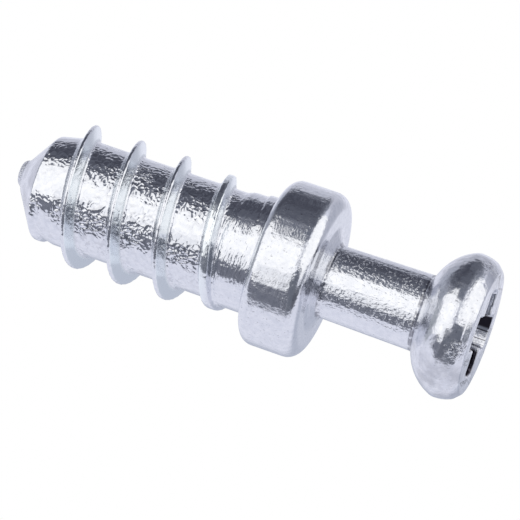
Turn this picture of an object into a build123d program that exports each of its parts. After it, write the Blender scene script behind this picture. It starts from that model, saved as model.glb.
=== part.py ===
"""Screw-in dowel of a cam furniture fitting, one piece of steel.

The screw end goes into a 5 mm drilled hole until the collar meets the board.
The neck and the round head stand out of the board, where the cam grips them.
The dowel is shaped along its own axis, from the tip to the driven head. It
is then stood on the flat end of the head, tip up, because it rolls when laid.
"""
from build123d import *
import math
import os

os.makedirs("parts", exist_ok=True)

# Sizes are in millimetres and degrees. Lengths run along the axis.

# Tip and shank
nib_diameter = 1.2
nib_length = 0.18
nib_chamfer = 0.1
point_diameter = 4.4
point_length = 1.13
lead_length = 1.13
root_diameter = 4.94
shank_length = 11.8
shoulder_diameter = 5.2
shoulder_length = 1.4
shoulder_blend = 0.35

# Thread, right-handed, rolled on
thread_diameter = 6.3
thread_pitch = 2.17
thread_angle = 40.0
crest_width = 0.15
thread_start = 2.6
run_in_turns = 0.75
run_out_to_collar = 3.88
run_out_in_collar = 1.2
thread_embedding = 0.5

# Collar
collar_diameter = 7.5
collar_length = 2.67
collar_back_rounding_share = 0.48
collar_front_rounding = 0.65
seat_ring_diameter = 4.7
seat_ring_height = 0.29

# Neck
neck_length = 4.35
neck_diameter_at_collar = 3.3
neck_diameter_at_head = 3.44

# Head
head_diameter = 6.5
head_back_length = 1.55
head_side_rounding = 0.6
head_side_turn = 22.5
head_front_length = 1.05
head_face_diameter = 5.56
head_edge_chamfer = 0.3

# Cross recess in the head
recess_width = 3.9
recess_depth = 2.0
recess_wing_width = 1.5
recess_wing_taper = 4.0
recess_side_angle = 12.0
recess_bottom_angle = 60.0
recess_turn = 5.0

# Places along the axis
point_end = nib_length + point_length
root_start = point_end + lead_length
shoulder_start = shank_length - shoulder_length
collar_front = shank_length + collar_length
neck_start = collar_front + seat_ring_height
head_start = neck_start + neck_length
head_widest = head_start + head_back_length
head_face = head_widest + head_front_length

# The back rounding is a share of the collar's step over the shoulder
collar_back_rounding = collar_back_rounding_share * (collar_diameter - shoulder_diameter) / 2

# Turns of full height, and turns that sink into the collar
full_turns = (shank_length - run_out_to_collar - thread_start) / thread_pitch
run_out_turns = (run_out_to_collar + run_out_in_collar) / thread_pitch

# Thread ridge, half of its section
crest_radius = thread_diameter / 2
root_radius = root_diameter / 2
flank_slope = math.tan(math.radians(thread_angle / 2))
crest_half_width = crest_width / 2
sunk_radius = root_radius - thread_embedding


def shank_and_collar():
    """Turn the tip, the shank, the collar and the neck from one outline."""
    corners_and_roundings = [
        (0, 0, 0),
        (nib_diameter / 2 - nib_chamfer, 0, 0),
        (nib_diameter / 2, nib_chamfer, 0),
        (nib_diameter / 2, nib_length, 0),
        (point_diameter / 2, point_end, 0),
        (root_radius, root_start, 0),
        (root_radius, shoulder_start - shoulder_blend, 0),
        (shoulder_diameter / 2, shoulder_start, 0),
        (shoulder_diameter / 2, shank_length, 0),
        (collar_diameter / 2, shank_length, collar_back_rounding),
        (collar_diameter / 2, collar_front, collar_front_rounding),
        (seat_ring_diameter / 2, collar_front, 0),
        (neck_diameter_at_collar / 2, neck_start, 0),
        (neck_diameter_at_head / 2, head_start, 0),
    ]
    corners = [(radius, place) for radius, place, _ in corners_and_roundings]
    roundings = [rounding for _, _, rounding in corners_and_roundings[1:-1]]
    with BuildPart() as turned:
        with BuildSketch(Plane.XZ):
            with BuildLine():
                outline = FilletPolyline(*corners, radius=roundings)
                Line(outline @ 1, (0, head_start))
                Line((0, head_start), (0, 0))
            make_face()
        revolve(axis=Axis.Z)
    return turned.part


def head():
    """Turn the round head from arcs that run into each other.

    From the widest ring two arcs go back to the neck. One goes forward, to a
    chamfer round the flat end face.
    """
    face_radius = head_face_diameter / 2
    widest = (head_diameter / 2, head_widest)
    neck_edge = (neck_diameter_at_head / 2, head_start)
    front_edge = (face_radius + head_edge_chamfer, head_face - head_edge_chamfer)
    with BuildPart() as turned:
        with BuildSketch(Plane.XZ):
            with BuildLine():
                side = JernArc(widest, (0, -1), head_side_rounding, -head_side_turn)
                back = TangentArc(side @ 1, neck_edge, tangent=side % 1)
                front = TangentArc(widest, front_edge, tangent=(0, 1))
                chamfer = Line(front @ 1, (face_radius, head_face))
                Line(chamfer @ 1, (0, head_face))
                Line((0, head_face), (0, head_start))
                Line((0, head_start), back @ 1)
            make_face()
        revolve(axis=Axis.Z)
    return turned.part


def screw_line(start, end):
    """Draw a helix between two places, each a turn, a radius and a height."""
    start_turn, start_radius, start_height = start
    end_turn, end_radius, end_height = end
    rise = end_height - start_height
    pitch = rise / (end_turn - start_turn)
    cone = math.degrees(math.atan2(end_radius - start_radius, rise))
    line = Edge.make_helix(
        pitch / math.cos(math.radians(cone)),
        rise,
        start_radius,
        angle=cone,
    )
    turned = Pos(0, 0, start_height) * Rot(0, 0, 360 * start_turn)
    return line.moved(turned)


def ridge_section(turn, top_radius):
    """Give the ridge's four corners at a turn, as radius and height."""
    middle = thread_start + turn * thread_pitch
    half_top = crest_half_width + (crest_radius - top_radius) * flank_slope
    half_foot = crest_half_width + (crest_radius - sunk_radius) * flank_slope
    return [
        (sunk_radius, middle - half_foot),
        (top_radius, middle - half_top),
        (top_radius, middle + half_top),
        (sunk_radius, middle + half_foot),
    ]


def thread_ridge():
    """Build the rolled ridge: it rises, runs full height and sinks away."""
    stations = [
        (-run_in_turns, point_diameter / 2),
        (0.0, crest_radius),
        (full_turns, crest_radius),
        (full_turns + run_out_turns, root_radius),
    ]
    faces = []
    for (turn_a, top_a), (turn_b, top_b) in zip(stations, stations[1:]):
        section_a = ridge_section(turn_a, top_a)
        section_b = ridge_section(turn_b, top_b)
        lines = [
            screw_line((turn_a, *corner_a), (turn_b, *corner_b))
            for corner_a, corner_b in zip(section_a, section_b)
        ]
        for line, next_line in zip(lines, lines[1:] + lines[:1]):
            faces.append(Face.make_surface_from_curves(line, next_line))
    for turn, top_radius in (stations[0], stations[-1]):
        place = Rot(0, 0, 360 * turn) * Rot(90, 0, 0)
        corners = [(r, z, 0) for r, z in ridge_section(turn, top_radius)]
        outline = Wire.make_polygon(corners, close=True)
        faces.append(Face(outline).moved(place))
    return Solid(Shell(faces)) & pointed_blank()


def pointed_blank():
    """Shape the bar that the thread is rolled on: the point, carried on."""
    slope = (point_diameter - nib_diameter) / 2 / point_length
    wide_radius = collar_diameter / 2
    wide_place = nib_length + (wide_radius - nib_diameter / 2) / slope
    corners = [
        (0, nib_length),
        (nib_diameter / 2, nib_length),
        (wide_radius, wide_place),
        (wide_radius, collar_front),
        (0, collar_front),
    ]
    with BuildPart() as turned:
        with BuildSketch(Plane.XZ):
            Polygon(*corners, align=None)
        revolve(axis=Axis.Z)
    return turned.part


def recess():
    """Shape the cross recess as the driver bit that would fill it."""
    side_slope = math.tan(math.radians(recess_side_angle))
    bottom_slope = math.tan(math.radians(recess_bottom_angle))
    half = recess_width / 2
    wing_depth = (recess_depth * bottom_slope - half) / (bottom_slope - side_slope)
    wing_foot = half - wing_depth * side_slope
    outline = [(0, 0), (half, 0), (wing_foot, -wing_depth), (0, -recess_depth)]
    with BuildPart() as bit:
        with BuildSketch():
            Rectangle(recess_width, recess_wing_width)
            Rectangle(recess_wing_width, recess_width)
        extrude(amount=-recess_depth, taper=recess_wing_taper)
        with BuildSketch(Plane.XZ):
            Polygon(*outline, align=None)
        revolve(axis=Axis.Z, mode=Mode.INTERSECT)
    return bit.part


def stand_up(dowel):
    """Stand the dowel on the flat end of its head, with the tip up."""
    return Pos(0, 0, head_face) * Rot(180, 0, 0) * dowel


body = shank_and_collar() + head() + thread_ridge()
body -= Pos(0, 0, head_face) * Rot(0, 0, recess_turn) * recess()
export_step(stand_up(body), "parts/dowel.step")
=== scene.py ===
"""Screw-in furniture dowel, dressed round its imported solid.

The dowel stands on the flat end of its head, tip up, in the frame of the solid.
The camera sees it from the side, turned so that it lies across the picture.
"""

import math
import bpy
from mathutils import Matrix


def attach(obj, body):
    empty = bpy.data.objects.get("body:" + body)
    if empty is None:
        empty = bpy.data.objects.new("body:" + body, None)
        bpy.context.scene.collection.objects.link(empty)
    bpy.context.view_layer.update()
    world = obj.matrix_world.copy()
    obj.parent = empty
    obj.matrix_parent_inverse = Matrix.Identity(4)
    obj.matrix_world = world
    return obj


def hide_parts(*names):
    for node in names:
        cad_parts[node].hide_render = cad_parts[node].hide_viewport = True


bl_info = {
    "name": "Screw-in furniture dowel",
    "version": (1, 0, 0),
    "blender": (4, 5, 0),
    "location": "3D View > Sidebar > Dowel",
    "description": "Finishes the zinc-plated dowel and sets up its studio",
    "category": "Object",
}

import bpy
import numpy as np
from bpy.props import FloatProperty, FloatVectorProperty, IntProperty, PointerProperty, StringProperty
from mathutils import Matrix, Vector

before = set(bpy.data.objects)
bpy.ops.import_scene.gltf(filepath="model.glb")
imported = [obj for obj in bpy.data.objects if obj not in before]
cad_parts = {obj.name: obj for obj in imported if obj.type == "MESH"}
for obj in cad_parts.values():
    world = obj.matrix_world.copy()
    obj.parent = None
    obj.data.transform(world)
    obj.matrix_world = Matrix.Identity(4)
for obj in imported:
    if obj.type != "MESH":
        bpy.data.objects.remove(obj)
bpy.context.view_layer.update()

MM = 0.001

# Places on the standing dowel, in millimetres above the end of the head
RIM_DEPTH = 0.03
RECESS_DEPTH = 2.0
HEAD_START = 2.6
NECK_START = 6.95
COLLAR_FRONT = 7.24
COLLAR_BACK = 9.91
RUN_OUT_END = 11.7
POINT_END = 20.4
NIB_START = 21.5

# Distances from its axis, in millimetres
NIB_RADIUS = 0.6
NECK_RADIUS = 1.72
RECESS_RADIUS = 1.95
SEAT_RING_RADIUS = 2.35
ROOT_RADIUS = 2.47
CREST_RADIUS = 3.15
COLLAR_RADIUS = 3.75

# Below every height and distance, for a zone that is open at its lower end
OPEN = -1.0

# Bands in which the shaping sets in or ends, in millimetres: first heights above
# the end of the head, and then distances from the axis
THREAD_BEGINS = (11.2, 11.9)
THREAD_ENDS = (20.3, 20.5)
NOSE_BEGINS = (21.2, 21.4)
NIB_BEGINS = (21.35, 21.58)
FOOT_BEGINS = (2.44, 2.5)
ROOT_ENDS = (2.5, 2.6)
FOOT_ENDS = (2.62, 2.8)

# Steps in which a weight of the shaping is stored
WEIGHT_STEPS = 20

# Ends that several zones share, and their softness: the heights of the thread,
# and the distances of the collar's rims from the axis
THREADED = (RUN_OUT_END, POINT_END + 0.1, 0.25)
COLLAR_RIM = (COLLAR_RADIUS - 0.35, COLLAR_RADIUS + 0.1, 0.1)

# Where each finish lies, in millimetres: from one height to another and how
# softly, and from one distance off the axis to another and how softly. A zone
# reaches a little past its surface.
ZONES = {
    "root": (*THREADED, OPEN, ROOT_RADIUS + 0.05, 0.025),
    "foot": (*THREADED, ROOT_RADIUS + 0.04, ROOT_RADIUS + 0.15, 0.02),
    "flank": (*THREADED, ROOT_RADIUS + 0.08, CREST_RADIUS - 0.05, 0.03),
    "run_out": (COLLAR_BACK, RUN_OUT_END + 0.5, 0.15, OPEN, CREST_RADIUS, 0.1),
    "cone": (POINT_END, NIB_START, 0.05, 0.5, ROOT_RADIUS, 0.1),
    "nib": (NIB_START - 0.05, NIB_START + 1.0, 0.06, OPEN, NIB_RADIUS + 0.2, 0.1),
    "back_rim": (COLLAR_BACK - 0.75, COLLAR_BACK - 0.4, 0.12, *COLLAR_RIM),
    "front_rim": (COLLAR_FRONT + 0.45, COLLAR_FRONT + 0.85, 0.15, *COLLAR_RIM),
    "seat_ring": (NECK_START - 0.05, COLLAR_FRONT + 0.03, 0.02, NECK_RADIUS, SEAT_RING_RADIUS, 0.03),
    "neck": (HEAD_START - 0.1, NECK_START + 0.1, 0.05, OPEN, NECK_RADIUS + 0.06, 0.05),
    # The two corner zones carry painted shade where the neck meets the collar and the head
    "collar_corner": (NECK_START - 0.14, NECK_START + 0.04, 0.03, OPEN, NECK_RADIUS + 0.2, 0.05),
    "head_corner": (HEAD_START - 0.05, HEAD_START + 0.14, 0.03, OPEN, NECK_RADIUS + 0.2, 0.05),
    "head": (OPEN, HEAD_START, 0.1, OPEN, COLLAR_RADIUS + 1.0, 0.1),
    "recess": (RIM_DEPTH, RECESS_DEPTH + 0.1, 0.02, OPEN, RECESS_RADIUS + 0.1, 0.03),
}

# Patterns in the plating: what they are drawn on, their grain in millimetres,
# detail, roughness and distortion. Those that make a share have the part of their
# range that counts and what that is spread over. The zinc's own grain of some
# micrometres is too fine to show, so it is drawn a quarter of a millimetre coarse.
PATTERNS = {
    "patch": ("solid", 1.0, 1.0, 0.5, 0.0, (0.4, 0.6, 0.3, 1.0)),
    "crinkle": ("solid", 0.32, 2.0, 0.5, 0.4, None),
    "neck_grain": ("drawn_up", 0.12, 1.5, 0.5, 0.0, None),
    "neck_pit": ("solid", 0.14, 2.0, 0.6, 0.5, (0.57, 0.68, 1.0, 0.0)),
    "run_out_line": ("drawn_round", 0.11, 1.5, 0.6, 0.0, None),
    "turned_ring": ("rings", 0.09, 1.0, 0.5, 0.0, None),
    "cone_ray": ("rays", 0.05, 2.0, 0.6, 0.0, None),
    "nib_grain": ("solid", 0.12, 2.0, 0.6, 0.0, None),
    "nib_mark": ("solid", 0.08, 2.0, 0.6, 0.0, (0.54, 0.62, 0.0, 0.6)),
    "knock": ("solid", 0.15, 2.0, 0.6, 0.0, None),
    "knocked_spot": ("solid", 0.6, 2.0, 0.5, 0.0, (0.42, 0.55, 0.0, 1.0)),
    "scuff": ("solid", 0.2, 2.0, 0.6, 1.2, None),
    "scratch": ("solid", 0.12, 2.0, 0.6, 0.8, (0.52, 0.6, 0.0, 0.5)),
    "peening": ("solid", 0.2, 3.0, 0.6, 0.0, None),
    "cloud": ("solid", 0.3, 4.0, 0.65, 0.4, (0.38, 0.62, 0.09, 0.2)),
    "zinc_grain": ("solid", 0.25, 3.0, 0.6, 0.0, (0.35, 0.65, 0.0, 1.0)),
    "fleck": ("solid", 0.13, 3.0, 0.7, 0.0, (0.62, 0.7, 0.0, 0.55)),
    # Painted shade in the corners where the neck meets the head and the collar
    "corner_shade": ("solid", 0.3, 2.0, 0.6, 0.0, (0.4, 0.54, 0.0, 0.7)),
    "smear": ("solid", 0.8, 4.0, 0.6, 0.0, (0.38, 0.6, 0.0, 0.34)),
    "wall_line": ("lines", 0.1, 1.0, 0.5, 0.0, (0.66, 0.56, 0.0, 1.0)),
    "wall_fleck": ("solid", 0.16, 2.0, 0.6, 0.0, (0.68, 0.6, 0.0, 1.0)),
}

# How far a pattern is drawn out: what its place along each axis is multiplied by
DRAWN_UP = (1.0, 1.0, 0.6)
DRAWN_ROUND = (0.3, 0.3, 1.0)

# Dimples of the rolled root, in millimetres: their size, and the size and the
# reach of the noise that warps them
DIMPLE_SIZE = 0.17
WARP_SIZE = 0.45
WARP_REACH = 0.35

# Height of each relief, in millimetres
CRINKLE_HEIGHT = 0.04
DIMPLE_HEIGHT = 0.078
NECK_GRAIN_HEIGHT = 0.02
NECK_PIT_HEIGHT = 0.009
RUN_OUT_HEIGHT = 0.025
RING_HEIGHT = 0.02
RAY_HEIGHT = 0.012
NIB_HEIGHT = 0.08
KNOCK_HEIGHT = 0.022
SCUFF_HEIGHT = 0.06
PEENING_HEIGHT = 0.011

# The root's relief sinks to a share of itself between two heights, near the point
RELIEF_SINKS = (18.0, 19.6)
RELIEF_LEFT = 0.55

# Share of the peening that the root, the neck and the flanks keep, and the share
# of that share on the flanks
PEENING_FORMED = 0.3
PEENING_FLANK = 0.4

# Distances in the dimples' pattern at which the painted shade in a crease sets in
# and is full, and how dark that painted shade is
CREASE = (0.54, 0.66)
CREASE_SHADE = 0.55

# Roughness of the formed surfaces. The rest has the clouds' own.
ROUGHNESS = {"root": 0.08, "neck": 0.14, "run_out": 0.1, "flank": 0.17, "foot": 0.38}

# Strips along the root and the neck that were left calmer: turns from the front in
# degrees, their softness, and the share of the crinkles and pits that is left there
CALM_STRIPS = ((-12, 26), (58, 110), (-110, -39), (138, 190), (-190, -138))
STRIP_SOFT = 7
CALM_SHARE = 0.35

# Knocks on the rim of the head: where each is, how far it reaches, and the share
# of that reach where it is full
SCUFFS = (((-1.05, -2.93, 0.42), 0.6), ((2.72, -1.3, 0.25), 0.6))
SCUFF_CORE = 0.5

# Turns of the head, in degrees from the front, between which it has no smears
UNSMEARED = (-34, 48)
UNSMEARED_SOFT = 10

# Places across the recess, in millimetres: its lined wall and its flecked wall,
# and how softly they end
LINED_WALL = (-0.8, 0.3)
FLECKED_WALL = (0.8, 3.0)
WALL_SOFT = 0.05

# Settings of nodes that stand in many places
TIMES = {"operation": "MULTIPLY"}
LARGER = {"operation": "MAXIMUM"}
COLOURS = {"data_type": "RGBA"}
SMOOTH = {"interpolation_type": "SMOOTHSTEP"}


def linear(hex_colour):
    """Turn an sRGB hex colour into linear red, green, blue and alpha."""
    channels = [int(hex_colour[i:i + 2], 16) / 255 for i in (1, 3, 5)]
    return [c / 12.92 if c <= 0.04045 else ((c + 0.055) / 1.055) ** 2.4 for c in channels] + [1.0]


def add_node(tree, kind, settings=None, out=0, **links):
    """Add a node, set its settings, fill its inputs, and give one of its outputs.

    An input has Blender's name, with _ for a blank, or i and its number. It takes
    a value or the output of another node.
    """
    node = tree.nodes.new("ShaderNode" + kind)
    for name, value in (settings or {}).items():
        setattr(node, name, value)
    for name, value in links.items():
        index = int(name[1:]) if name[0] == "i" and name[1:].isdigit() else name.replace("_", " ")
        socket = node.inputs[index]
        if isinstance(value, bpy.types.NodeSocket):
            tree.links.new(value, socket)
        else:
            socket.default_value = value
    return node.outputs[out] if len(node.outputs) else None


def between(tree, value, low, high, soft, high_value=None):
    """Give 1 where a value lies between two limits, with soft ends.

    The upper limit may be for a value of its own.
    """
    above = add_node(tree, "MapRange", SMOOTH, Value=value, From_Min=low - soft, From_Max=low + soft)
    below = add_node(
        tree, "MapRange", SMOOTH, Value=high_value or value, From_Min=high - soft, From_Max=high + soft,
        To_Min=1.0, To_Max=0.0,
    )
    return add_node(tree, "Math", TIMES, i0=above, i1=below)


def turn_from_front(tree, parts):
    """Give how far a place or a direction is turned from the front, in radians."""
    toward = add_node(tree, "Math", TIMES, i0=parts["Y"], i1=-1.0)
    return add_node(tree, "Math", {"operation": "ARCTAN2"}, i0=parts["X"], i1=toward)


class DowelFinish(bpy.types.PropertyGroup):
    """Sizes and colours of the dowel's finish."""

    zinc_colour: StringProperty(
        name="Zinc colour", description="Colour of the bright zinc plating", default="#EDEEF2",
    )
    zinc_shade: StringProperty(
        name="Zinc shade", description="Colour of the plating's darker grains", default="#E2E4EA",
    )
    # The flanks' paler, greener colour is a painted reflection of light bounced between the flanks
    flank_reflection_colour: StringProperty(
        name="Flank reflection colour", description="Colour of the thread's flanks, a painted reflection of light bounced between them", default="#F3F7F9",
    )
    # Colours the real flecks, smears and marks, and the painted shade in the root's creases and the neck's
    # corners
    grime_and_shade_colour: StringProperty(
        name="Grime and shade colour", description="Colour of flecks, smears and the painted shade in creases and corners",
        default="#6E6F7A",
    )
    # The recess's dark walls are painted shade
    recess_shade_colour: StringProperty(
        name="Recess shade colour", description="Colour of the dark walls in the recess", default="#4A464F",
    )
    voxel: FloatProperty(
        name="Grain", description="Size of the remeshed dowel's faces, in millimetres",
        default=0.058, min=0.03, max=0.2,
    )
    crinkle_size: FloatProperty(
        name="Crinkle size", description="Size of the rolled root's crinkles, in millimetres",
        default=0.2, min=0.05, max=1.0,
    )
    crinkle_height: FloatProperty(
        name="Crinkle height", description="Height of the crinkles, in millimetres",
        default=0.018, min=0.0, max=0.1,
    )
    nib_offset: FloatProperty(
        name="Nib offset", description="How far the nib of the tip stands off the axis, in millimetres",
        default=0.1, min=0.0, max=0.4,
    )
    most_faces: IntProperty(
        name="Most triangles", description="Triangles left in the finished dowel", default=190000,
    )


class StudioSettings(bpy.types.PropertyGroup):
    """Floor, light and camera of the studio."""

    floor_colour: StringProperty(
        name="Floor colour", description="Colour of the pale floor", default="#F4F4F6",
    )
    floor_width: FloatProperty(
        name="Floor width", description="Width of the floor", default=0.6, subtype="DISTANCE", unit="LENGTH",
    )
    lens: FloatProperty(
        name="Lens", description="Focal length on a 36 mm sensor, in millimetres", default=208.43,
        unit="CAMERA",
    )
    camera_place: FloatVectorProperty(
        name="Camera place", description="Where the camera stands", size=3,
        default=(-0.000125, -0.12784, -0.01779), subtype="TRANSLATION", unit="LENGTH",
    )


def deselect_all():
    """Leave nothing selected, as a new piece is shaped."""
    for thing in bpy.context.selected_objects:
        thing.select_set(False)


def use_modifier(piece, kind, **settings):
    """Add a modifier with its settings and apply it."""
    modifier = piece.modifiers.new(kind.lower(), kind)
    for name, value in settings.items():
        setattr(modifier, name, value)
    bpy.ops.object.modifier_apply(modifier=modifier.name)


def vertex_places(piece):
    """Give a mesh's vertices as an array of places."""
    places = np.empty(len(piece.data.vertices) * 3)
    piece.data.vertices.foreach_get("co", places)
    return places.reshape(-1, 3)


def smooth_step(values, low, high):
    """Rise smoothly from 0 at low to 1 at high."""
    share = np.clip((values - low) / (high - low), 0, 1)
    return share * share * (3 - 2 * share)


def weigh(piece, name, weights):
    """Store weights from 0 to 1 as a vertex group, in even steps, and give its name."""
    group = piece.vertex_groups.new(name=name)
    steps = np.round(weights * WEIGHT_STEPS).astype(int)
    for step in range(1, WEIGHT_STEPS + 1):
        chosen = np.nonzero(steps == step)[0].tolist()
        if chosen:
            group.add(chosen, step / WEIGHT_STEPS, "REPLACE")
    return name


def cloud_texture(name, size, depth):
    """Make a cloud texture of a grain size in millimetres."""
    texture = bpy.data.textures.new(name, "CLOUDS")
    texture.noise_scale = size
    texture.noise_depth = depth
    return texture


def zinc_material(finish):
    """Bright zinc plate on cold-formed steel.

    Zinc plate of some micrometres follows the steel below it: crinkled where
    the thread's root was rolled, finely pitted on the neck, knocked on the
    collar's edges, and lightly peened elsewhere. It gives the eye sharp light
    and dark bands with a broken edge, and a faint blue tone. Handling left
    smears on the head and the cone.
    """
    material = bpy.data.materials.new("zinc_plated_steel")
    material.use_nodes = True
    tree = material.node_tree
    tree.nodes.clear()

    # Where a point of the surface is, in millimetres and radians
    place = add_node(tree, "TexCoord", out="Object")
    in_mm = add_node(tree, "VectorMath", {"operation": "SCALE"}, i0=place, Scale=1 / MM)
    parts = add_node(tree, "SeparateXYZ", Vector=in_mm).node.outputs
    across, height = parts["X"], parts["Z"]
    flat = add_node(tree, "VectorMath", TIMES, i0=in_mm, i1=(1, 1, 0))
    radius = add_node(tree, "VectorMath", {"operation": "LENGTH"}, out="Value", i0=flat)
    turn = turn_from_front(tree, parts)

    zones = {}
    for name, (low, high, soft, inner, outer, fade) in ZONES.items():
        zones[name] = add_node(
            tree, "Math", TIMES, i0=between(tree, height, low, high, soft),
            i1=between(tree, radius, inner, outer, fade),
        )

    drawn_on = {
        "solid": in_mm,
        "drawn_up": add_node(tree, "VectorMath", TIMES, i0=in_mm, i1=DRAWN_UP),
        "drawn_round": add_node(tree, "VectorMath", TIMES, i0=in_mm, i1=DRAWN_ROUND),
        "rings": add_node(tree, "CombineXYZ", X=radius),
        "rays": add_node(tree, "VectorMath", {"operation": "NORMALIZE"}, i0=flat),
        "lines": add_node(tree, "CombineXYZ", X=across),
    }
    patterns = {}
    for name, (ground, grain, detail, rough, distortion, spread) in PATTERNS.items():
        pattern = add_node(
            tree, "TexNoise", out="Fac", Vector=drawn_on[ground], Scale=1 / grain, Detail=detail,
            Roughness=rough, Distortion=distortion,
        )
        if spread:
            low, high, to_low, to_high = spread
            pattern = add_node(
                tree, "MapRange", Value=pattern, From_Min=low, From_Max=high, To_Min=to_low, To_Max=to_high,
            )
        patterns[name] = pattern

    # Dimples of the root: a cell pattern, warped and squared
    warp = add_node(tree, "TexNoise", out="Color", Vector=in_mm, Scale=1 / WARP_SIZE, Detail=1.0)
    warped = add_node(
        tree, "VectorMath", {"operation": "MULTIPLY_ADD"}, i0=warp, i1=(WARP_REACH,) * 3, i2=in_mm,
    )
    reach = add_node(
        tree, "TexVoronoi", {"feature": "SMOOTH_F1"}, out="Distance", Vector=warped, Scale=1 / DIMPLE_SIZE,
        Smoothness=0.2,
    )
    dimples = add_node(tree, "Math", TIMES, i0=reach, i1=reach)

    # The root is crinkled in patches, less so near the point and in calm strips
    lively = 1.0
    for left, right in CALM_STRIPS:
        strip = between(tree, turn, math.radians(left), math.radians(right), math.radians(STRIP_SOFT))
        kept = add_node(tree, "MapRange", Value=strip, To_Min=1.0, To_Max=CALM_SHARE)
        lively = add_node(tree, "Math", TIMES, i0=lively, i1=kept)
    sunk = add_node(
        tree, "MapRange", Value=height, From_Min=RELIEF_SINKS[0], From_Max=RELIEF_SINKS[1],
        To_Min=1.0, To_Max=RELIEF_LEFT,
    )
    crinkled = zones["root"]
    for share in (patterns["patch"], sunk, lively):
        crinkled = add_node(tree, "Math", TIMES, i0=crinkled, i1=share)
    pitted = add_node(tree, "Math", TIMES, i0=zones["neck"], i1=lively)

    # Knocks lie in spots along the rims of the collar
    rims = add_node(tree, "Math", LARGER, i0=zones["front_rim"], i1=zones["back_rim"])
    knocked = add_node(tree, "Math", TIMES, i0=rims, i1=patterns["knocked_spot"])

    # Scuffs on the head raise the surface and darken it, as marks do on the nib
    marks = add_node(tree, "Math", TIMES, i0=zones["nib"], i1=patterns["nib_mark"])
    scuffs = []
    for at, reach_mm in SCUFFS:
        away = add_node(tree, "VectorMath", {"operation": "DISTANCE"}, out="Value", i0=in_mm, i1=at)
        near = add_node(tree, "MapRange", Value=away, From_Min=reach_mm, From_Max=SCUFF_CORE * reach_mm)
        scratched = add_node(tree, "Math", TIMES, i0=near, i1=patterns["scratch"])
        marks = add_node(tree, "Math", LARGER, i0=marks, i1=scratched)
        scuffs.append((near, SCUFF_HEIGHT, patterns["scuff"]))

    # All that is neither root, neck nor flank is fully peened
    formed = add_node(tree, "Math", LARGER, i0=zones["root"], i1=zones["neck"])
    formed = add_node(tree, "Math", LARGER, i0=formed, i1=zones["flank"])
    plain = add_node(tree, "Math", {"operation": "SUBTRACT"}, i0=1.0, i1=formed)
    on_formed = add_node(tree, "MapRange", Value=plain, To_Min=PEENING_FORMED, To_Max=1.0)
    on_flank = add_node(tree, "MapRange", Value=zones["flank"], To_Min=1.0, To_Max=PEENING_FLANK)
    peened = add_node(tree, "Math", TIMES, i0=on_formed, i1=on_flank)

    # Reliefs, each over the one before: where it lies, its height and its pattern
    reliefs = [
        (crinkled, CRINKLE_HEIGHT, patterns["crinkle"]),
        (crinkled, DIMPLE_HEIGHT, dimples),
        (zones["neck"], NECK_GRAIN_HEIGHT, patterns["neck_grain"]),
        (pitted, NECK_PIT_HEIGHT, patterns["neck_pit"]),
        (zones["run_out"], RUN_OUT_HEIGHT, patterns["run_out_line"]),
        (zones["seat_ring"], RING_HEIGHT, patterns["turned_ring"]),
        (zones["cone"], RAY_HEIGHT, patterns["cone_ray"]),
        (zones["nib"], NIB_HEIGHT, patterns["nib_grain"]),
        (knocked, KNOCK_HEIGHT, patterns["knock"]),
        *scuffs,
        (peened, PEENING_HEIGHT, patterns["peening"]),
    ]
    below = {}
    for where, height_mm, relief in reliefs:
        bump = add_node(tree, "Bump", Strength=where, Distance=height_mm * MM, Height=relief, **below)
        below = {"Normal": bump}

    roughness = patterns["cloud"]
    for name, value in ROUGHNESS.items():
        roughness = add_node(tree, "Mix", i0=zones[name], i2=roughness, i3=value)

    # Marks, flecks and smears, and painted shade in the root's creases and in the neck's corners
    # Painted shade darkens the creases between the root's dimples
    creased = add_node(
        tree, "MapRange", Value=reach, From_Min=CREASE[0], From_Max=CREASE[1],
        To_Min=0.0, To_Max=CREASE_SHADE,
    )
    # Painted shade darkens the neck's corners, mottled by noise
    corners = add_node(tree, "Math", LARGER, i0=zones["collar_corner"], i1=zones["head_corner"])
    left, right = UNSMEARED
    clean = between(tree, turn, math.radians(left), math.radians(right), math.radians(UNSMEARED_SOFT))
    smeared = add_node(tree, "Math", {"operation": "SUBTRACT"}, i0=1.0, i1=clean)
    handled = add_node(tree, "Math", TIMES, i0=zones["head"], i1=smeared)
    handled = add_node(tree, "Math", LARGER, i0=handled, i1=zones["cone"])
    stains_and_shade = marks
    for where, darkening in (
        (plain, patterns["fleck"]), (crinkled, creased), (corners, patterns["corner_shade"]),
        (handled, patterns["smear"]),
    ):
        darkening = add_node(tree, "Math", TIMES, i0=where, i1=darkening)
        stains_and_shade = add_node(tree, "Math", LARGER, i0=stains_and_shade, i1=darkening)

    # Painted shade darkens the recess, but for a lined wall and some flecks
    lined = between(tree, across, *LINED_WALL, WALL_SOFT)
    lined = add_node(tree, "Math", TIMES, i0=lined, i1=patterns["wall_line"])
    flecked = between(tree, across, *FLECKED_WALL, WALL_SOFT)
    flecked = add_node(tree, "Math", TIMES, i0=flecked, i1=patterns["wall_fleck"])
    bright = add_node(tree, "Math", LARGER, i0=lined, i1=flecked)
    dark = add_node(tree, "Math", {"operation": "SUBTRACT"}, i0=1.0, i1=bright)
    recess_shade = add_node(tree, "Math", TIMES, i0=zones["recess"], i1=dark)

    # The flanks take a paler, greener colour as a painted reflection of light bounced between them
    colour = linear(finish.zinc_colour)
    for share, hex_colour in (
        (patterns["zinc_grain"], finish.zinc_shade), (zones["flank"], finish.flank_reflection_colour),
        # Flecks, smears and marks, with the painted shade of the creases and the neck's corners
        (stains_and_shade, finish.grime_and_shade_colour), (recess_shade, finish.recess_shade_colour),
    ):
        colour = add_node(tree, "Mix", COLOURS, out=2, i0=share, i6=colour, i7=linear(hex_colour))

    shader = add_node(
        tree, "BsdfPrincipled", Base_Color=colour, Metallic=1.0, Roughness=roughness, Normal=bump,
    )
    add_node(tree, "OutputMaterial", Surface=shader)
    return material


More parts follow.
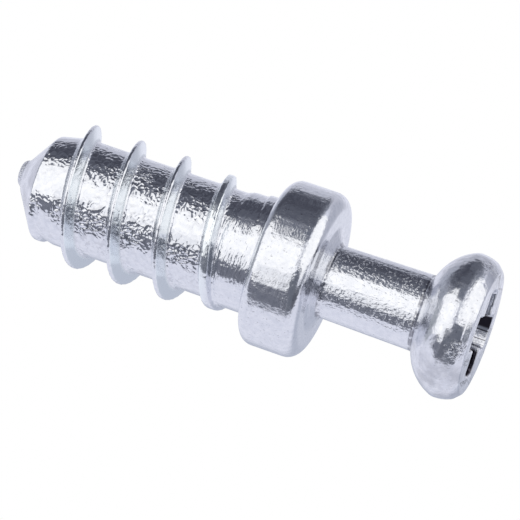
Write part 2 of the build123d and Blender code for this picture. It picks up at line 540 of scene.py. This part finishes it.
class DOWEL_OT_dowel(bpy.types.Operator):
    """Finish the dowel: round its edges, crinkle the rolled root and plate it."""

    bl_idname = "dowel.dowel"
    bl_label = "Dowel"

    def execute(self, context):
        finish = context.scene.dowel_finish
        deselect_all()
        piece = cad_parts["dowel"].copy()
        piece.data = piece.data.copy()
        piece.name = "plated_dowel"
        piece.parent = None
        piece.matrix_world = Matrix.Identity(4)
        context.collection.objects.link(piece)
        context.view_layer.objects.active = piece
        piece.select_set(True)

        # The mesh is worked on in millimetres
        bpy.ops.object.mode_set(mode="EDIT")
        bpy.ops.mesh.select_all(action="SELECT")
        bpy.ops.transform.resize(value=(1 / MM,) * 3, center_override=(0, 0, 0))
        bpy.ops.mesh.remove_doubles(threshold=0.001)
        bpy.ops.object.mode_set(mode="OBJECT")
        use_modifier(piece, "REMESH", mode="VOXEL", voxel_size=finish.voxel, use_smooth_shade=True)
        use_modifier(piece, "SMOOTH", factor=0.5, iterations=3)

        # All weights come from the places before the first of them moves the mesh
        places = vertex_places(piece)
        height = places[:, 2]
        radius = np.hypot(places[:, 0], places[:, 1])
        turn = np.degrees(np.arctan2(places[:, 0], -places[:, 1]))
        thread = smooth_step(height, *THREAD_BEGINS) * (1 - smooth_step(height, *THREAD_ENDS))
        crinkled = thread * (1 - smooth_step(radius, *ROOT_ENDS))
        for left, right in CALM_STRIPS:
            strip = smooth_step(turn, left - STRIP_SOFT, left + STRIP_SOFT)
            strip *= 1 - smooth_step(turn, right - STRIP_SOFT, right + STRIP_SOFT)
            crinkled *= 1 - (1 - CALM_SHARE) * strip
        foot = thread * smooth_step(radius, *FOOT_BEGINS) * (1 - smooth_step(radius, *FOOT_ENDS))

        use_modifier(
            piece, "DISPLACE", texture=cloud_texture("root_crinkle", finish.crinkle_size, 2),
            texture_coords="LOCAL", strength=finish.crinkle_height,
            vertex_group=weigh(piece, "rolled_root", crinkled),
        )
        foot = weigh(piece, "thread_foot", foot)
        use_modifier(piece, "SMOOTH", factor=0.5, iterations=6, vertex_group=foot)
        nose = weigh(piece, "nose", smooth_step(height, *NOSE_BEGINS))
        use_modifier(piece, "SMOOTH", factor=0.5, iterations=10, vertex_group=nose)
        nib = weigh(piece, "nib", smooth_step(height, *NIB_BEGINS))
        use_modifier(
            piece, "DISPLACE", direction="X", space="LOCAL", mid_level=0.0, strength=finish.nib_offset,
            vertex_group=nib,
        )
        triangles = sum(len(face.vertices) - 2 for face in piece.data.polygons)
        if triangles > finish.most_faces:
            use_modifier(piece, "DECIMATE", ratio=finish.most_faces / triangles)
        piece.vertex_groups.clear()

        bpy.ops.object.mode_set(mode="EDIT")
        bpy.ops.mesh.select_all(action="SELECT")
        bpy.ops.transform.resize(value=(MM,) * 3, center_override=(0, 0, 0))
        bpy.ops.object.mode_set(mode="OBJECT")
        bpy.ops.object.shade_smooth()

        piece.data.materials.clear()
        piece.data.materials.append(zinc_material(finish))
        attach(piece, "root")
        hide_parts("dowel")
        return {"FINISHED"}


# Light that the floor adds for the camera, so that it looks as pale as paper
FLOOR_LIFT = 0.22

# Directions in the frame: to the right in the picture, and away from the camera
PICTURE_RIGHT = (0.3265, 0.2022, -0.9233)
PICTURE_DEPTH = (0, 0.9768, 0.2140)

# Width of the camera's sensor in millimetres, and the nearest it sees in metres
SENSOR_WIDTH = 36
NEAREST_SEEN = 0.01

# What the plating mirrors, as seen from the dowel. Each panel has its left and
# right turn from the camera's side, their softness and a lean, its lower and
# upper height over the level and their softness, its colour and its strength.
# The right turn draws in by the lean's share of the height, and moves out below
# the level. Angles are in degrees, and later panels lie over earlier ones.
ROOM_COLOUR = "#E9EBF7"
PANELS = (
    ("rear_left", -185, -148, 14, 0, -60, 22, 10, "#BDC2D1", 1.0),
    ("rear_dim", 118, 152, 12, 0, -90, 90, 8, "#CBCDD9", 1.0),
    ("rear_dim_high", 106, 150, 8, 0, 38, 90, 8, "#B0B4C1", 1.0),
    ("rear_dim_low", 112, 176, 10, 0, -90, -14, 8, "#BBBECB", 1.0),
    ("ceiling", -125, 130, 8, 0, 68, 95, 4, "#A4A8B0", 1.0),
    ("upper_box", -33, 36.5, 2.5, 0, -3, 66, 3, "#FFFFFF", 1.2),
    ("upper_box_left", -33, -6, 6, 0, -3, 30, 8, "#FBFCFF", 1.06),
    ("flag_edge", 36, 60, 2.5, 0, -12, 54, 5, "#767A86", 1.0),
    ("flag_top", 62, 112, 6, 0, 52, 72, 5, "#989CA8", 1.0),
    ("flag", 59, 122, 5, 0, -12, 55, 6, "#5E616C", 1.0),
    ("flag_core", 84, 114, 6, 0, 6, 46, 6, "#4B4D58", 1.0),
    ("flag_high", 100, 156, 6, 0.9, 26, 47, 5, "#565863", 1.0),
    ("flag_low", 98, 127, 4, 0, -3, 10.5, 1.2, "#646772", 1.0),
    ("flag_foot", 64, 110, 6, 0, -20, -8, 5, "#848894", 1.0),
    ("box_wing", 35, 54, 3, 0, 14.3, 42, 0.9, "#FFFFFF", 1.13),
    ("box_top", 33, 63, 4, 0, 40, 64, 4, "#FFFFFF", 1.15),
    ("strip", -64, -33, 2.5, 0, -8, 58, 4, "#787B87", 1.0),
    ("strip_low", -61, -27, 3, 0, -8, 10.5, 1.2, "#6B6E79", 1.0),
    ("gap", -12, 38, 4, 0, -14, -5, 2.5, "#C4C7D0", 1.0),
    ("corner", -36, -11, 4, 0, -14, 7, 4, "#6E727D", 1.0),
    ("under_dark", -68, 3, 4, 0, -46, -9, 4, "#6E727D", 1.0),
    ("under_dark_low", -76, -28, 5, 0, -85, -40, 5, "#62656F", 1.0),
    ("under_foot", -80, 45, 8, 0, -95, -74, 4, "#8A8E98", 1.0),
    ("lower_box_left", -16, 12, 6, 0, -70, -48, 3, "#FFFFFF", 1.1),
    ("lower_box", 5, 70, 2.5, 0.9, -80, -15, 3, "#FFFFFF", 1.18),
)


def studio_world():
    """Light the studio from a sphere of soft boxes and dark flags."""
    world = bpy.data.worlds.new("studio")
    bpy.context.scene.world = world
    world.use_nodes = True
    tree = world.node_tree
    tree.nodes.clear()
    direction = add_node(tree, "TexCoord", out="Generated")
    parts = add_node(tree, "SeparateXYZ", Vector=direction).node.outputs
    turn = turn_from_front(tree, parts)
    rise = add_node(tree, "Math", {"operation": "ARCSINE"}, i0=parts["Z"])

    shade = linear(ROOM_COLOUR)
    for name, left, right, soft, lean, under, over, fade, hex_colour, strength in PANELS:
        left, right, soft = math.radians(left), math.radians(right), math.radians(soft)
        under, over, fade = math.radians(under), math.radians(over), math.radians(fade)
        leaning = add_node(tree, "Math", {"operation": "MULTIPLY_ADD"}, i0=rise, i1=lean, i2=turn)
        share = add_node(
            tree, "Math", TIMES, i0=between(tree, turn, left, right, soft, leaning),
            i1=between(tree, rise, under, over, fade),
        )
        light = [strength * channel for channel in linear(hex_colour)[:3]] + [1.0]
        shade = add_node(tree, "Mix", {**COLOURS, "label": name}, out=2, i0=share, i6=shade, i7=light)

    seen = add_node(tree, "LightPath", out="Is Camera Ray")
    backdrop = add_node(tree, "Mix", COLOURS, out=2, i0=seen, i6=shade, i7=(1, 1, 1, 1))
    background = add_node(tree, "Background", Color=backdrop, Strength=1.0)
    add_node(tree, "OutputWorld", Surface=background)


def floor_material(hex_colour):
    """Matt paper floor: it is clear from below, where the camera looks up past it."""
    material = bpy.data.materials.new("paper_floor")
    material.use_nodes = True
    tree = material.node_tree
    tree.nodes.clear()
    matt = add_node(tree, "BsdfDiffuse", Color=linear(hex_colour))
    seen = add_node(tree, "LightPath", out="Is Camera Ray")
    lift = add_node(tree, "Math", TIMES, i0=seen, i1=FLOOR_LIFT)
    lift = add_node(tree, "Emission", Color=linear(hex_colour), Strength=lift)
    paper = add_node(tree, "AddShader", i0=matt, i1=lift)
    clear = add_node(tree, "BsdfTransparent")
    below = add_node(tree, "NewGeometry", out="Backfacing")
    both = add_node(tree, "MixShader", i0=below, i1=paper, i2=clear)
    add_node(tree, "OutputMaterial", Surface=both)
    return material


class DOWEL_OT_stage(bpy.types.Operator):
    """Set up the floor, the studio's light and the camera."""

    bl_idname = "dowel.stage"
    bl_label = "Stage"

    def execute(self, context):
        studio = context.scene.dowel_studio
        deselect_all()
        bpy.ops.mesh.primitive_plane_add(size=studio.floor_width)
        floor = context.object
        floor.name = "floor"
        floor.visible_glossy = False
        floor.data.materials.append(floor_material(studio.floor_colour))

        studio_world()

        bpy.ops.object.camera_add()
        camera = context.object
        camera.name = "camera"
        right = Vector(PICTURE_RIGHT).normalized()
        forward = Vector(PICTURE_DEPTH).normalized()
        up = right.cross(forward).normalized()
        right = forward.cross(up)
        turned = Matrix((right, up, -forward)).transposed().to_4x4()
        camera.matrix_world = Matrix.Translation(studio.camera_place) @ turned
        camera.data.lens = studio.lens
        camera.data.sensor_width = SENSOR_WIDTH
        camera.data.clip_start = NEAREST_SEEN
        context.scene.camera = camera
        context.scene.view_settings.view_transform = "Standard"
        return {"FINISHED"}


class DOWEL_PT_panel(bpy.types.Panel):
    """Lists the dowel's pieces and their settings."""

    bl_label = "Dowel"
    bl_idname = "DOWEL_PT_panel"
    bl_space_type = "VIEW_3D"
    bl_region_type = "UI"
    bl_category = "Dowel"

    def draw(self, context):
        for settings in (context.scene.dowel_finish, context.scene.dowel_studio):
            for name in settings.bl_rna.properties.keys():
                if name not in ("rna_type", "name"):
                    self.layout.prop(settings, name)
        self.layout.operator("dowel.dowel")
        self.layout.operator("dowel.stage")


CLASSES = (DowelFinish, StudioSettings, DOWEL_OT_dowel, DOWEL_OT_stage, DOWEL_PT_panel)


def register():
    """Add the classes and the settings to Blender."""
    for entry in CLASSES:
        bpy.utils.register_class(entry)
    bpy.types.Scene.dowel_finish = PointerProperty(type=DowelFinish)
    bpy.types.Scene.dowel_studio = PointerProperty(type=StudioSettings)


def unregister():
    """Take the settings and the classes away again."""
    del bpy.types.Scene.dowel_studio
    del bpy.types.Scene.dowel_finish
    for entry in reversed(CLASSES):
        bpy.utils.unregister_class(entry)


def main():
    """Build the pieces and the stage."""
    register()
    bpy.ops.dowel.dowel()
    bpy.ops.dowel.stage()


if __name__ == "__main__":
    main()
